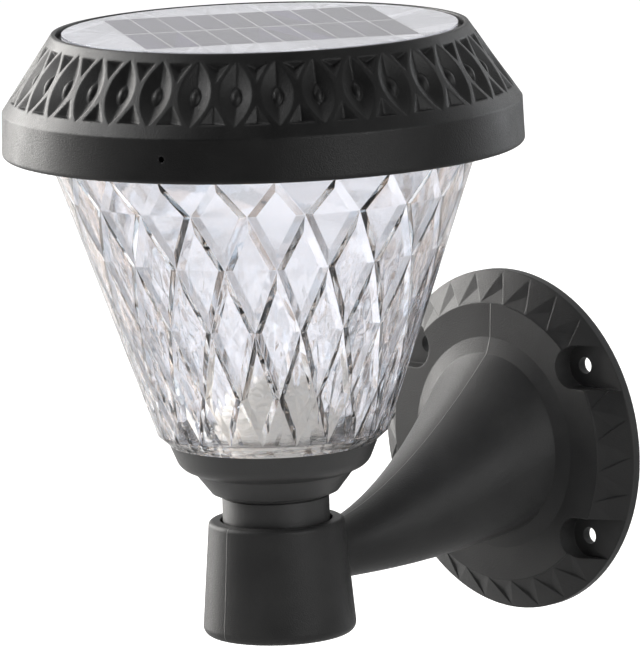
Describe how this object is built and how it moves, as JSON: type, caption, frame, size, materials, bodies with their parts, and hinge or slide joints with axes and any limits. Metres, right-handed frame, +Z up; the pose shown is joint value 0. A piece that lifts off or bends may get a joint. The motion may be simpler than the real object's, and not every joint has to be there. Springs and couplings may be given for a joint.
{
  "type": "solar wall light",
  "caption": "Black solar wall light: faceted round wall plate, trumpet arm and socket, clear prism shade and a relief cap with a round solar panel.",
  "frame": {"origin": "centre of the four wall screws, on the plane of the wall plate's back face", "axes": "+Z up along the lamp's axis; the wall is the plane Y = 0 and the lamp stands out along -Y; +X to the right of someone facing the wall"},
  "size_m": [0.1672, 0.1946, 0.207],
  "materials": {
    "black_plastic": "fine-grained satin",
    "tray_plastic": "satin",
    "screw_steel": "zinc plated",
    "seal_rubber": "matte",
    "white_plastic": "gloss",
    "clear_plastic": "polished clear",
    "white_board": "satin",
    "clear_cover": "polished clear",
    "silicon": "satin",
    "cell_sleeve": "gloss film",
    "spring_metal": "nickel plated",
    "circuit_board": "solder mask",
    "chip_black": "matte",
    "capacitor_can": "sleeved",
    "button_plastic": "satin",
    "emitter": "resin",
    "lead_black": "matte",
    "lead_red": "matte"
  },
  "bodies": {
    "bracket": {"wall_bracket": "black_plastic"},
    "lantern": {"neck_spigot": "black_plastic", "base_cup": "black_plastic", "neck_screw": "screw_steel", "foot_gasket": "seal_rubber", "reflector": "white_plastic", "shade": "clear_plastic"},
    "head": {"cap_shell": "black_plastic", "head_tray": "tray_plastic", "cell_holder": "tray_plastic", "switch_body": "tray_plastic", "tray_seal": "seal_rubber", "panel_tape": "seal_rubber", "panel_board": "white_board", "panel_cover": "clear_cover", "solar_cells_1": "silicon", "solar_cells_2": "silicon", "cell": "cell_sleeve", "contact_plus": "spring_metal", "contact_minus": "spring_metal", "control_board": "circuit_board", "control_chip": "chip_black", "inductor": "chip_black", "capacitor": "capacitor_can", "light_board": "white_board", "board_screw_1": "screw_steel", "board_screw_2": "screw_steel", "light_screw_1": "screw_steel", "light_screw_2": "screw_steel", "tray_screw_1": "screw_steel", "tray_screw_2": "screw_steel", "tray_screw_3": "screw_steel", "cell_lead_1": "lead_black", "cell_lead_2": "lead_red", "light_lead_1": "lead_black", "light_lead_2": "lead_red", "panel_lead_1": "lead_black", "panel_lead_2": "lead_red", "light_1": "emitter", "light_2": "emitter", "light_3": "emitter", "light_4": "emitter", "light_5": "emitter", "light_6": "emitter"},
    "button": {"power_button": "button_plastic"}
  },
  "joints": [
    {"name": "lantern_swivel", "type": "hinge", "parent": "bracket", "child": "lantern", "pos_m": [0, -0.111, 0], "axis": [0, 0, 1], "continuous": true},
    {"name": "head_twist", "type": "hinge", "parent": "lantern", "child": "head", "pos_m": [0, -0.111, 0.1175], "axis": [0, 0, 1], "range_deg": [0, 20]},
    {"name": "button_press", "type": "slide", "parent": "head", "child": "button", "axis": [0, 0, 1], "range_m": [0, 0.0014], "stiffness_N_per_m": 900}
  ]
}
